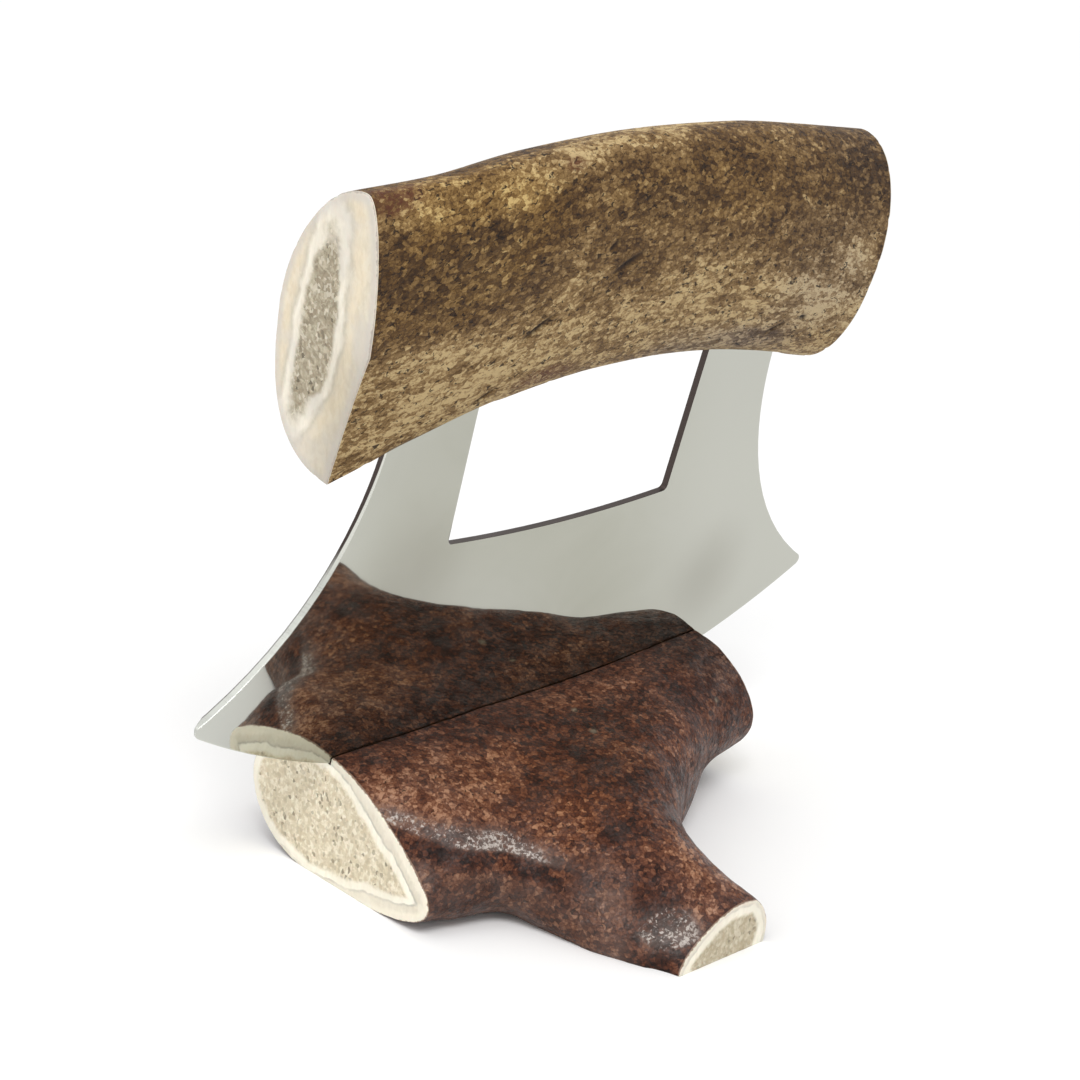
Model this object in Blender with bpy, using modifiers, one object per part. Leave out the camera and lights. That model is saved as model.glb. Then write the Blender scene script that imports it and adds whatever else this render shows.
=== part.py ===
"""Ulu knife resting in its antler stand.

A plain steel plate with a curved cutting edge carries an antler handle on two tangs, which are glued
into mortises. The knife drops into a leaning saw cut across the top of a forked piece of antler.

Metres, +Z up. The origin is on the table, under the middle of the slot. +X runs along the blade, and -Y
is the side that the fork's tine points to and that the knife leans to.
"""
import math

import bmesh
import bpy
from mathutils import Matrix, Vector

MM = 0.001

# Seat: the point of the slot, close to over the origin, where the knife's own upright frame starts
SEAT_HEIGHT = 22.5 * MM
SEAT_SHIFT = -0.45 * MM
LEAN = math.radians(7.5)

# Blade: a plate in the knife's XZ plane, its other heights measured from the level of its two tips
BLADE_SPAN = 152.4 * MM
BLADE_THICKNESS = 1.3 * MM
EDGE_RADIUS = 153.5 * MM
TIP_LEVEL = 12.6 * MM
TIP_ROUNDING = 1.2 * MM
WAIST_HALF_WIDTH = 46.6 * MM
WAIST_HEIGHT = 50.3 * MM
FLARE_REACH = 25.9 * MM
FLARE_RISE = 15.2 * MM
WAIST_RUN = 11.3 * MM
BEVEL_WIDTH = 3.2 * MM
EDGE_LAND = 0.25 * MM
WINDOW_HALF_WIDTH = 27.2 * MM
WINDOW_FLARE = 0.8 * MM
WINDOW_FLOOR = 22.9 * MM
WINDOW_FLOOR_RADIUS = 324.0 * MM
WINDOW_CORNER = 1.0 * MM
TANG_DEPTH = 17.0 * MM
TANG_CORNER = 2.5 * MM

# Handle: an arched length of antler, sawn off at both ends
HANDLE_LENGTH = 119.4 * MM
HANDLE_OFFSET = -2.75 * MM
HANDLE_HEIGHT = 41.4 * MM
HANDLE_THICKNESS = 20.0 * MM
HANDLE_ARCH = 7.3 * MM
HANDLE_FAN = math.radians(6.3)
FINGER_ROOM = 29.7 * MM

# Glue round each tang, and the play between pieces
GLUE_WALL = 0.5 * MM
SEAT_GAP = 0.3 * MM
SLOT_PLAY = 0.3 * MM
OVERRUN = 8.0 * MM

# Stand: a beam along X with a tine towards -Y
BEAM_LEFT = 43.2 * MM
BEAM_RIGHT = 47.9 * MM
BEAM_CREST = 23.0 * MM
BEAM_FRONT = 26.0 * MM
BEAM_BACK = 18.0 * MM
TINE_REACH = 57.5 * MM
TINE_WIDTH = 22.6 * MM
TINE_HEIGHT = 9.5 * MM
STAND_GRAIN = 2.2 * MM
STAND_SMOOTHING = 10

# Steps of the curved outlines and rings
ARC_STEPS = 40
SIDE_STEPS = 18
FLOOR_STEPS = 14
CORNER_STEPS = 5
HANDLE_STATIONS = 26
HANDLE_SIDES = 36
BEAM_STATIONS = 24
TINE_STATIONS = 14
STAND_SIDES = 32
TURN_STEPS = 256

# Handle stations: place along it, then centre rise as a share of HANDLE_ARCH, half height as a share of
# HANDLE_HEIGHT, crest line, front reach and back reach as shares of HANDLE_THICKNESS, and how full the
# lower front, upper back and lower back quarters are, where 2 is a plain oval
HANDLE_SHARES = [
    (0.00, 0.00, 0.590, -0.073, 0.255, 0.760, 0.94, 1.76, 2.60),
    (0.15, 0.33, 0.542, -0.046, 0.295, 0.705, 1.45, 1.85, 2.35),
    (0.30, 0.76, 0.514, -0.020, 0.340, 0.655, 1.90, 1.95, 2.10),
    (0.50, 1.00, 0.498, 0.016, 0.405, 0.600, 2.05, 2.00, 2.00),
    (0.70, 0.87, 0.493, 0.051, 0.475, 0.570, 2.05, 2.00, 2.00),
    (0.85, 0.56, 0.497, 0.077, 0.530, 0.555, 2.10, 2.00, 2.00),
    (1.00, 0.15, 0.504, 0.104, 0.590, 0.540, 2.40, 2.00, 2.00),
]

# Beam stations: place along it, then crest, underside and nose heights as shares of BEAM_CREST, front
# reach as a share of BEAM_FRONT, back reach as a share of BEAM_BACK, and how full the front's upper and
# lower slopes are
BEAM_SHARES = [
    (-0.08, 0.96, -0.02, 0.20, 1.02, 1.00, 1.12, 2.1),
    (0.00, 0.98, -0.03, 0.24, 1.03, 1.00, 1.20, 2.3),
    (0.08, 0.98, -0.08, 0.43, 1.11, 1.00, 1.95, 3.8),
    (0.16, 0.98, -0.10, 0.42, 1.13, 1.00, 2.00, 3.6),
    (0.35, 1.00, -0.10, 0.40, 1.02, 1.00, 2.05, 2.9),
    (0.65, 1.02, -0.10, 0.46, 0.89, 0.98, 2.70, 2.1),
    (0.85, 1.08, -0.05, 0.56, 0.77, 0.92, 2.30, 1.8),
    (1.00, 1.14, 0.02, 0.61, 0.70, 0.86, 1.65, 1.7),
    (1.08, 1.15, 0.06, 0.62, 0.68, 0.84, 1.60, 1.7),
]

# Tine stations: place along it, then left edge, right edge and crest place as shares of TINE_WIDTH, crest
# and nose heights as shares of TINE_HEIGHT, and how full the left and right slopes are
TINE_SHARES = [
    (0.05, -1.35, 1.75, 0.75, 2.24, 1.20, 2.00, 2.20),
    (0.21, -1.45, 1.75, 0.90, 2.36, 1.25, 2.00, 2.40),
    (0.35, -1.52, 1.45, 0.72, 2.34, 1.20, 2.00, 2.40),
    (0.44, -1.45, 1.00, 0.36, 2.22, 1.05, 2.00, 2.30),
    (0.54, -1.30, 0.59, 0.06, 2.08, 0.85, 1.95, 2.00),
    (0.61, -1.18, 0.41, -0.12, 1.98, 0.65, 1.90, 1.85),
    (0.70, -1.10, 0.34, -0.22, 1.82, 0.45, 1.85, 1.75),
    (0.78, -1.01, 0.33, -0.24, 1.62, 0.32, 1.75, 1.75),
    (0.87, -0.90, 0.33, -0.20, 1.35, 0.20, 1.55, 1.80),
    (1.00, -0.71, 0.31, -0.05, 1.02, 0.06, 1.30, 2.60),
    (1.12, -0.60, 0.24, -0.05, 0.85, 0.04, 1.30, 2.60),
]

BACK_NOSE_SHARE = 0.58
BACK_ROUNDNESS_SHARE = 2.1
TINE_UNDER_SHARE = 2.3
TINE_SINK_SHARE = 0.5


def clear_scene():
    for thing in list(bpy.data.objects):
        bpy.data.objects.remove(thing, do_unlink=True)


def collection(name):
    group = bpy.data.collections.new(name)
    bpy.context.scene.collection.children.link(group)
    return group


def material(name, colour, roughness, metallic):
    paint = bpy.data.materials.new(name)
    paint.use_nodes = True
    shader = paint.node_tree.nodes["Principled BSDF"]
    shader.inputs["Base Color"].default_value = (*colour, 1.0)
    shader.inputs["Roughness"].default_value = roughness
    shader.inputs["Metallic"].default_value = metallic
    return paint


def add_mesh(name, shape, group, paint=None):
    """Turn a bmesh into an object of the given collection."""
    mesh = bpy.data.meshes.new(name)
    shape.to_mesh(mesh)
    shape.free()
    thing = bpy.data.objects.new(name, mesh)
    group.objects.link(thing)
    if paint:
        mesh.materials.append(paint)
    return thing


def as_guide(thing):
    thing.hide_render = True
    thing.display_type = "WIRE"
    return thing


def boolean(thing, other, operation):
    cut = thing.modifiers.new(operation.lower() + "_" + other.name, "BOOLEAN")
    cut.operation = operation
    cut.solver = "EXACT"
    cut.object = other


def box(name, low, high, group):
    """A box guide between two opposite corners."""
    low = Vector(low)
    high = Vector(high)
    shape = bmesh.new()
    bmesh.ops.create_cube(shape, size=1.0)
    place = Matrix.Translation((low + high) / 2) @ Matrix.Diagonal((*(high - low), 1.0))
    shape.transform(place)
    return as_guide(add_mesh(name, shape, group))


def smooth_row(rows, place):
    """Read a table between its stations, along a Catmull-Rom curve."""
    last = len(rows) - 1
    index = 0
    while index < last - 1 and place > rows[index + 1][0]:
        index += 1
    start, end = rows[index], rows[index + 1]
    before, after = rows[max(index - 1, 0)], rows[min(index + 2, last)]
    span = end[0] - start[0]
    t = (place - start[0]) / span
    values = []
    for column in range(1, len(start)):
        slope_in = (end[column] - before[column]) / (end[0] - before[0]) * span
        slope_out = (after[column] - start[column]) / (after[0] - start[0]) * span
        values.append(
            (2 * t ** 3 - 3 * t ** 2 + 1) * start[column]
            + (t ** 3 - 2 * t ** 2 + t) * slope_in
            + (3 * t ** 2 - 2 * t ** 3) * end[column]
            + (t ** 3 - t ** 2) * slope_out
        )
    return values


def bent(value, roundness):
    """A sine or cosine bent so that its oval has the given roundness, where 2 is an ellipse."""
    return math.copysign(abs(value) ** (2 / roundness), value)


def loft(name, runs, group, paint=None):
    """Skin each run of closed rings of equal counts, and close both its ends."""
    shape = bmesh.new()
    for rings in runs:
        loops = []
        for ring in rings:
            loops.append([shape.verts.new(point) for point in ring])
        count = len(loops[0])
        for first, second in zip(loops, loops[1:]):
            for i in range(count):
                j = (i + 1) % count
                shape.faces.new((first[i], first[j], second[j], second[i]))
        shape.faces.new(loops[0][::-1])
        shape.faces.new(loops[-1])
    bmesh.ops.recalc_face_normals(shape, faces=shape.faces)
    return add_mesh(name, shape, group, paint)


# Handle

def handle_station(place):
    """Centre, up direction, half height, front and back reach and the three roundnesses at one place."""
    rise, tall, crest_line, front, back, *fullness = smooth_row(HANDLE_SHARES, place)
    middle_height = TIP_LEVEL + WINDOW_FLOOR + FINGER_ROOM + HANDLE_HEIGHT / 2
    centre = Vector((
        HANDLE_OFFSET + HANDLE_LENGTH * (place - 1 / 2),
        HANDLE_THICKNESS * crest_line,
        middle_height + HANDLE_ARCH * (rise - 1),
    ))
    lean = HANDLE_FAN * (1 - 2 * place)
    up = Vector((-math.sin(lean), 0, math.cos(lean)))
    reaches = (HANDLE_THICKNESS * front, HANDLE_THICKNESS * back)
    return centre, up, HANDLE_HEIGHT * tall, reaches, fullness


def handle_ring(place):
    centre, up, tall, (front, back), (front_low, back_high, back_low) = handle_station(place)
    ring = []
    for i in range(HANDLE_SIDES):
        angle = 2 * math.pi * i / HANDLE_SIDES
        across, along = math.cos(angle), math.sin(angle)
        if across < 0:
            roundness = front_low if along < 0 else 2
        else:
            roundness = back_low if along < 0 else back_high
        y = (front if across < 0 else back) * bent(across, roundness)
        z = tall * bent(along, roundness)
        ring.append(centre + Vector((0, y, 0)) + up * z)
    return ring


def underside_height(x):
    """Height of the handle's underside, in the blade's plane, near a place along the blade."""
    place = (x - HANDLE_OFFSET) / HANDLE_LENGTH + 1 / 2
    centre, up, tall, reaches, fullness = handle_station(place)
    return centre.z - up.z * tall


def handle_body(name, group, paint=None):
    steps = HANDLE_STATIONS - 1
    rings = [handle_ring(i / steps) for i in range(HANDLE_STATIONS)]
    body = loft(name, [rings], group, paint)
    body.data.shade_smooth()
    body.data.set_sharp_from_angle(angle=math.radians(40))
    return body


# Blade

def arc(centre, radius, start, end, steps):
    points = []
    for i in range(steps + 1):
        angle = start + (end - start) * i / steps
        points.append(centre + Vector((math.cos(angle), math.sin(angle))) * radius)
    return points


def bezier(first, pull_first, pull_last, last, steps):
    points = []
    for i in range(steps + 1):
        t = i / steps
        point = first * (1 - t) ** 3 + pull_first * 3 * t * (1 - t) ** 2
        points.append(point + pull_last * 3 * t ** 2 * (1 - t) + last * t ** 3)
    return points


def rounded(lines, corners):
    """Join runs of points end to end, with an arc of the given radius at each shared corner."""
    outline = list(lines[0])
    for line, radius in zip(lines[1:], corners):
        corner = line[0]
        arriving = (corner - outline[-2]).normalized()
        leaving = (line[1] - corner).normalized()
        turn = arriving.angle(leaving)
        trim = radius * math.tan(turn / 2)
        while (outline[-1] - corner).length <= trim:
            outline.pop()
        rest = [point for point in line if (point - corner).length > trim]
        inward = (leaving - arriving).normalized()
        centre = corner + inward * radius / math.cos(turn / 2)
        start = corner - arriving * trim - centre
        side = 1 if arriving.cross(leaving) > 0 else -1
        for i in range(CORNER_STEPS + 1):
            swing = Matrix.Rotation(side * turn * i / CORNER_STEPS, 2)
            outline.append(centre + swing @ start)
        outline.extend(rest)
    return outline


def edge_centre_height():
    """Height of the centre of the cutting edge's arc."""
    return TIP_LEVEL + math.sqrt(EDGE_RADIUS ** 2 - (BLADE_SPAN / 2) ** 2)


def edge_arc(start, end, margin, steps):
    """The cutting edge from one place to another, where -1 and 1 are the tips, moved out by a margin."""
    half_angle = math.asin(BLADE_SPAN / 2 / EDGE_RADIUS)
    down = -math.pi / 2
    centre = Vector((0, edge_centre_height()))
    return arc(centre, EDGE_RADIUS + margin, down + half_angle * start, down + half_angle * end, steps)


def tang_sides():
    return WINDOW_HALF_WIDTH + WINDOW_FLARE, WAIST_HALF_WIDTH


def tang_top(side):
    inner, outer = tang_sides()
    return underside_height(side * (inner + outer) / 2) + TANG_DEPTH


def blade_half(side):
    """Outline of one half of the plate, from the middle of its edge round to its window's floor."""
    edge = edge_arc(0, 1, 0, ARC_STEPS // 2)
    tip = edge[-1]
    down = -math.pi / 2
    inner, outer = tang_sides()
    top = tang_top(side)
    waist = Vector((outer, TIP_LEVEL + WAIST_HEIGHT))
    flare = bezier(
        tip,
        tip + Vector((-FLARE_REACH, FLARE_RISE)),
        waist - Vector((0, WAIST_RUN)),
        waist,
        SIDE_STEPS,
    )
    flare.append(Vector((outer, top)))
    floor_angle = math.asin(WINDOW_HALF_WIDTH / WINDOW_FLOOR_RADIUS)
    floor_centre = Vector((0, TIP_LEVEL + WINDOW_FLOOR + WINDOW_FLOOR_RADIUS))
    floor = arc(floor_centre, WINDOW_FLOOR_RADIUS, down + floor_angle, down, FLOOR_STEPS // 2)
    sill = floor[0]
    roof = Vector((inner, underside_height(side * inner)))
    runs = [
        edge,
        flare,
        [flare[-1], Vector((inner, top))],
        [Vector((inner, top)), roof, sill],
        floor,
    ]
    points = rounded(runs, [TIP_ROUNDING, TANG_CORNER, TANG_CORNER, WINDOW_CORNER])
    return [Vector((side * point.x, point.y)) for point in points]


def plate(name, points, thickness, group):
    """A flat outline in the XZ plane, thickened both ways from Y = 0."""
    curve = bpy.data.curves.new(name, "CURVE")
    curve.dimensions = "2D"
    curve.fill_mode = "BOTH"
    curve.extrude = thickness / 2
    spline = curve.splines.new("POLY")
    spline.points.add(len(points) - 1)
    for knot, point in zip(spline.points, points):
        knot.co = (point.x, point.y, 0, 1)
    spline.use_cyclic_u = True
    drawn = bpy.data.objects.new(name + "_outline", curve)
    drawn.rotation_euler.x = math.pi / 2
    group.objects.link(drawn)
    bpy.context.view_layer.update()
    ready = drawn.evaluated_get(bpy.context.evaluated_depsgraph_get())
    mesh = bpy.data.meshes.new_from_object(ready)
    shape = bmesh.new()
    shape.from_mesh(mesh)
    shape.transform(drawn.matrix_world)
    bmesh.ops.remove_doubles(shape, verts=shape.verts, dist=0.01 * MM)
    bmesh.ops.recalc_face_normals(shape, faces=shape.faces)
    bpy.data.objects.remove(drawn, do_unlink=True)
    bpy.data.meshes.remove(mesh)
    return add_mesh(name, shape, group)


def turned(name, profile, height, group):
    """A guide turned about an axis along Y, at X = 0 and the given height."""
    mesh = bpy.data.meshes.new(name)
    edges = [(i, i + 1) for i in range(len(profile) - 1)]
    mesh.from_pydata([(radius, 0, along) for radius, along in profile], edges, [])
    thing = bpy.data.objects.new(name, mesh)
    group.objects.link(thing)
    spin = thing.modifiers.new("turn", "SCREW")
    spin.axis = "Z"
    spin.steps = TURN_STEPS
    spin.render_steps = TURN_STEPS
    spin.use_merge_vertices = True
    spin.merge_threshold = 0.01 * MM
    thing.location.z = height
    thing.rotation_euler.x = math.pi / 2
    return as_guide(thing)


def grinding_cone(group):
    """The cone that leaves the one ground bevel on the blade's back, with the front flat to the edge."""
    half = BLADE_THICKNESS / 2
    slope = BEVEL_WIDTH / (BLADE_THICKNESS - EDGE_LAND)
    out = half + SEAT_GAP
    land_end = half - EDGE_LAND
    front_rim = EDGE_RADIUS + slope * (out - land_end)
    back_rim = EDGE_RADIUS - slope * (out + land_end)
    profile = [(0, out), (front_rim, out), (back_rim, -out), (0, -out)]
    return turned("grinding_cone", profile, edge_centre_height(), group)


def make_blade(parts, guides, paint):
    right = blade_half(1)
    left = blade_half(-1)
    blade = plate("blade", right + left[-2:0:-1], BLADE_THICKNESS, parts)
    blade.data.materials.append(paint)
    boolean(blade, grinding_cone(guides), "INTERSECT")


# Handle pockets and glue

def tang_block(name, side, margin, group):
    """A block round one tang, larger than it by the margin on every side, open below."""
    inner, outer = tang_sides()
    low_x, high_x = sorted((side * (inner - margin), side * (outer + margin)))
    depth = BLADE_THICKNESS / 2 + margin
    top = tang_top(side)
    bottom = min(underside_height(low_x), underside_height(high_x)) - OVERRUN
    return box(name, (low_x, -depth, bottom), (high_x, depth, top + margin), group)


def make_handle(parts, guides, paint):
    handle = handle_body("handle", parts, paint)
    for side, word in ((-1, "left"), (1, "right")):
        pocket = tang_block("pocket_" + word, side, GLUE_WALL + 2 * SEAT_GAP, guides)
        boolean(handle, pocket, "DIFFERENCE")


def make_glue(side, word, whole_handle, parts, guides, paint):
    """Cured glue between one tang and its mortise, flush with the handle's underside."""
    outside = tang_block("glue_fill_" + word, side, GLUE_WALL + SEAT_GAP, guides)
    inside = tang_block("glue_core_" + word, side, SEAT_GAP, guides)
    glue = bpy.data.objects.new("tang_epoxy_" + word, outside.data.copy())
    parts.objects.link(glue)
    glue.data.materials.append(paint)
    boolean(glue, whole_handle, "INTERSECT")
    boolean(glue, inside, "DIFFERENCE")


# Stand

def beam_ring(place):
    crest, underside, nose, front, back, upper, lower = smooth_row(BEAM_SHARES, place)
    x = (BEAM_LEFT + BEAM_RIGHT) * place - BEAM_LEFT
    ring = []
    for i in range(STAND_SIDES):
        angle = 2 * math.pi * i / STAND_SIDES
        across, along = math.cos(angle), math.sin(angle)
        if across > 0:
            reach, nose_height = BEAM_BACK * back, BEAM_CREST * BACK_NOSE_SHARE
            roundness = BACK_ROUNDNESS_SHARE
        else:
            reach, nose_height = BEAM_FRONT * front, BEAM_CREST * nose
            roundness = upper if along > 0 else lower
        edge_height = BEAM_CREST * (crest if along > 0 else underside)
        rise = abs(bent(along, roundness)) * (edge_height - nose_height)
        ring.append(Vector((x, reach * bent(across, roundness), nose_height + rise)))
    return ring


def tine_ring(place):
    left, right, middle, crest, nose, left_fullness, right_fullness = smooth_row(TINE_SHARES, place)
    nose_height = TINE_HEIGHT * nose
    ring = []
    for i in range(STAND_SIDES):
        angle = 2 * math.pi * i / STAND_SIDES
        across, along = math.cos(angle), math.sin(angle)
        side = right if across > 0 else left
        roundness = right_fullness if across > 0 else left_fullness
        if along < 0:
            roundness = TINE_UNDER_SHARE
        edge_height = TINE_HEIGHT * (crest if along > 0 else -TINE_SINK_SHARE)
        ring.append(Vector((
            TINE_WIDTH * (middle + (side - middle) * abs(bent(across, roundness))),
            -TINE_REACH * place,
            nose_height + abs(bent(along, roundness)) * (edge_height - nose_height),
        )))
    return ring


def table_places(rows, count):
    first, last = rows[0][0], rows[-1][0]
    return [first + (last - first) * i / (count - 1) for i in range(count)]


def make_stand(knife_seat, parts, guides, paint):
    beam_rings = [beam_ring(place) for place in table_places(BEAM_SHARES, BEAM_STATIONS)]
    tine_rings = [tine_ring(place) for place in table_places(TINE_SHARES, TINE_STATIONS)]
    stand = loft("stand", [beam_rings, tine_rings], parts, paint)
    skin = stand.modifiers.new("grown_together", "REMESH")
    skin.mode = "VOXEL"
    skin.voxel_size = STAND_GRAIN
    skin.use_smooth_shade = True
    ease = stand.modifiers.new("eased", "SMOOTH")
    ease.iterations = STAND_SMOOTHING
    slot_outline = edge_arc(-1, 1, SLOT_PLAY, ARC_STEPS)
    slot_saw = as_guide(plate("slot_saw", slot_outline, BLADE_THICKNESS + 2 * SLOT_PLAY, guides))
    slot_saw.parent = knife_seat
    boolean(stand, slot_saw, "DIFFERENCE")
    low = (-BEAM_LEFT, -TINE_REACH, 0)
    high = (BEAM_RIGHT, BEAM_BACK + OVERRUN, BEAM_CREST + SEAT_HEIGHT)
    boolean(stand, box("saw_planes", low, high, guides), "INTERSECT")


def build():
    clear_scene()
    parts = collection("ulu_knife")
    guides = collection("cutters")
    steel = material("mirror_steel", (0.62, 0.62, 0.60), 0.08, 1.0)
    antler = material("antler_bark", (0.25, 0.15, 0.07), 0.55, 0.0)
    glue = material("cured_epoxy", (0.62, 0.55, 0.38), 0.35, 0.0)
    stained = material("stained_antler", (0.16, 0.055, 0.03), 0.35, 0.0)
    knife_seat = bpy.data.objects.new("knife_seat", None)
    knife_seat.location = (SEAT_SHIFT, 0, SEAT_HEIGHT)
    knife_seat.rotation_euler.x = LEAN
    guides.objects.link(knife_seat)
    make_blade(parts, guides, steel)
    make_handle(parts, guides, antler)
    whole_handle = as_guide(handle_body("whole_handle", guides))
    for side, word in ((-1, "left"), (1, "right")):
        make_glue(side, word, whole_handle, parts, guides, glue)
    for thing in list(parts.objects) + list(guides.objects):
        if thing != knife_seat:
            thing.parent = knife_seat
    make_stand(knife_seat, parts, guides, stained)


build()
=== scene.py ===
"""Looks for the ulu knife and its antler stand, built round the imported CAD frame.

The blade and the two glue sleeves stay as CAD nodes with their own materials. The handle and the stand
are regrown from the CAD's section tables at a finer step, carved inward by the bark's relief, and finished
at each saw cut with a rim and a spongy core. Lengths are in metres unless a name ends in _mm.
"""
import math

import bmesh
import bpy
import numpy as np
from mathutils import Matrix, Vector, kdtree, noise


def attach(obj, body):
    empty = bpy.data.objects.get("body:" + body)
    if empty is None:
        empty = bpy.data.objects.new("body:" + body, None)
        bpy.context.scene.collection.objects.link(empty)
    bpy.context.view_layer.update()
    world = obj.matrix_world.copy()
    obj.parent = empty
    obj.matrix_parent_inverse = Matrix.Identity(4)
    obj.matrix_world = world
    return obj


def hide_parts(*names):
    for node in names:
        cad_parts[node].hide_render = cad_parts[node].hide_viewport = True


MM = 0.001

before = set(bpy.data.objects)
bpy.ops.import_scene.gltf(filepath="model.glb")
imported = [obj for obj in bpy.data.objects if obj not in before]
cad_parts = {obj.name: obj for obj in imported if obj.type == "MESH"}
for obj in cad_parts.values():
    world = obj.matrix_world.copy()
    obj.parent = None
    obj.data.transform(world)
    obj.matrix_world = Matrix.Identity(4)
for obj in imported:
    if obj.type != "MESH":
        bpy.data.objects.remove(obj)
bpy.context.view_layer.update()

# Numbers of the CAD that the finer pieces repeat
SEAT_HEIGHT = 22.5 * MM
SEAT_SHIFT = -0.45 * MM
LEAN = math.radians(7.5)
BLADE_SPAN = 152.4 * MM
BLADE_THICKNESS = 1.3 * MM
EDGE_RADIUS = 153.5 * MM
TIP_LEVEL = 12.6 * MM
WAIST_HALF_WIDTH = 46.6 * MM
WINDOW_INNER = 28.0 * MM
WINDOW_FLOOR = 22.9 * MM
TANG_DEPTH = 17.0 * MM
HANDLE_LENGTH = 119.4 * MM
HANDLE_OFFSET = -2.75 * MM
HANDLE_HEIGHT = 41.4 * MM
HANDLE_THICKNESS = 20.0 * MM
HANDLE_ARCH = 7.3 * MM
HANDLE_FAN = math.radians(6.3)
FINGER_ROOM = 29.7 * MM
POCKET_MARGIN = 1.1 * MM
SLOT_PLAY = 0.3 * MM
SLOT_SHADOW = 0.16 * MM
BEAM_LEFT = 43.2 * MM
BEAM_RIGHT = 47.9 * MM
BEAM_CREST = 23.0 * MM
BEAM_FRONT = 26.0 * MM
BEAM_BACK = 18.0 * MM
TINE_REACH = 57.5 * MM
TINE_WIDTH = 22.6 * MM
TINE_HEIGHT = 9.5 * MM
STAND_GRAIN = 2.2 * MM

HANDLE_SHARES = [
    (0.00, 0.00, 0.590, -0.073, 0.255, 0.760, 0.94, 1.76, 2.60),
    (0.15, 0.33, 0.542, -0.046, 0.295, 0.705, 1.45, 1.85, 2.35),
    (0.30, 0.76, 0.514, -0.020, 0.340, 0.655, 1.90, 1.95, 2.10),
    (0.50, 1.00, 0.498, 0.016, 0.405, 0.600, 2.05, 2.00, 2.00),
    (0.70, 0.87, 0.493, 0.051, 0.475, 0.570, 2.05, 2.00, 2.00),
    (0.85, 0.56, 0.497, 0.077, 0.530, 0.555, 2.10, 2.00, 2.00),
    (1.00, 0.15, 0.504, 0.104, 0.590, 0.540, 2.40, 2.00, 2.00),
]
BEAM_SHARES = [
    (-0.08, 0.96, -0.02, 0.20, 1.02, 1.00, 1.12, 2.1),
    (0.00, 0.98, -0.03, 0.24, 1.03, 1.00, 1.20, 2.3),
    (0.08, 0.98, -0.08, 0.43, 1.11, 1.00, 1.95, 3.8),
    (0.16, 0.98, -0.10, 0.42, 1.13, 1.00, 2.00, 3.6),
    (0.35, 1.00, -0.10, 0.40, 1.02, 1.00, 2.05, 2.9),
    (0.65, 1.02, -0.10, 0.46, 0.89, 0.98, 2.70, 2.1),
    (0.85, 1.08, -0.05, 0.56, 0.77, 0.92, 2.30, 1.8),
    (1.00, 1.14, 0.02, 0.61, 0.70, 0.86, 1.65, 1.7),
    (1.08, 1.15, 0.06, 0.62, 0.68, 0.84, 1.60, 1.7),
]
TINE_SHARES = [
    (0.05, -1.35, 1.75, 0.75, 2.24, 1.20, 2.00, 2.20),
    (0.21, -1.45, 1.75, 0.90, 2.36, 1.25, 2.00, 2.40),
    (0.35, -1.52, 1.45, 0.72, 2.34, 1.20, 2.00, 2.40),
    (0.44, -1.45, 1.00, 0.36, 2.22, 1.05, 2.00, 2.30),
    (0.54, -1.30, 0.59, 0.06, 2.08, 0.85, 1.95, 2.00),
    (0.61, -1.18, 0.41, -0.12, 1.98, 0.65, 1.90, 1.85),
    (0.70, -1.10, 0.34, -0.22, 1.82, 0.45, 1.85, 1.75),
    (0.78, -1.01, 0.33, -0.24, 1.62, 0.32, 1.75, 1.75),
    (0.87, -0.90, 0.33, -0.20, 1.35, 0.20, 1.55, 1.80),
    (1.00, -0.71, 0.31, -0.05, 1.02, 0.06, 1.30, 2.60),
    (1.12, -0.60, 0.24, -0.05, 0.85, 0.04, 1.30, 2.60),
]
BACK_NOSE_SHARE = 0.58
BACK_ROUNDNESS_SHARE = 2.1
TINE_UNDER_SHARE = 2.3
TINE_SINK_SHARE = 0.5

# Steps of the finer pieces, and the worn edges of the saw cuts and of the blade
HANDLE_ROWS = 420
HANDLE_SIDES = 320
STAND_SIDES = 32
BEAM_RINGS = 24
TINE_RINGS = 14
SKIN_SMOOTHING = 10
SKIN_LEVELS = 2
SLOT_STEPS = 96
CUT_RINGS = 46
WORN_EDGE = 0.35 * MM
WORN_STEPS = 4
ROLLED_EDGE = 0.10 * MM

# The handle's spongy core: its half width and half height as shares of the saw cut's, and its depth in mm
CORE_WIDTH = 0.37
CORE_HEIGHT = 0.68
CORE_MM = 3.6

# Stands for the distance to a rim or a core where there is none
FAR_MM = 50.0

# The stand's saw cuts: a place on each, the way it faces, and its rim's width in mm at the two sides
STAND_CUTS = [
    ((-BEAM_LEFT, 0, 0), (-1, 0, 0), (4.6, 1.6)),
    ((BEAM_RIGHT, 0, 0), (1, 0, 0), (3.2, 3.0)),
    ((0, -TINE_REACH, 0), (0, -1, 0), (2.6, 2.6)),
]

# The table just under the stand, and the ring in which it fades to the white behind it
FLOOR_HALF = 9.0
FLOOR_LEVEL = -0.00002
FADE_START = 0.28
FADE_END = 0.60

# Painted reflection in the blade's polish, two soft darker spots of reflected shadow and one lighter spot:
# place along and above the seat, reach and colour
REFLECTION_SPOTS_MM = [
    (-33.3, 32.3, 17.0, (0.360, 0.352, 0.306)),
    (46.0, 15.0, 15.0, (0.360, 0.352, 0.306)),
    (-18.0, 3.0, 36.0, (0.550, 0.555, 0.520)),
]

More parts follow.
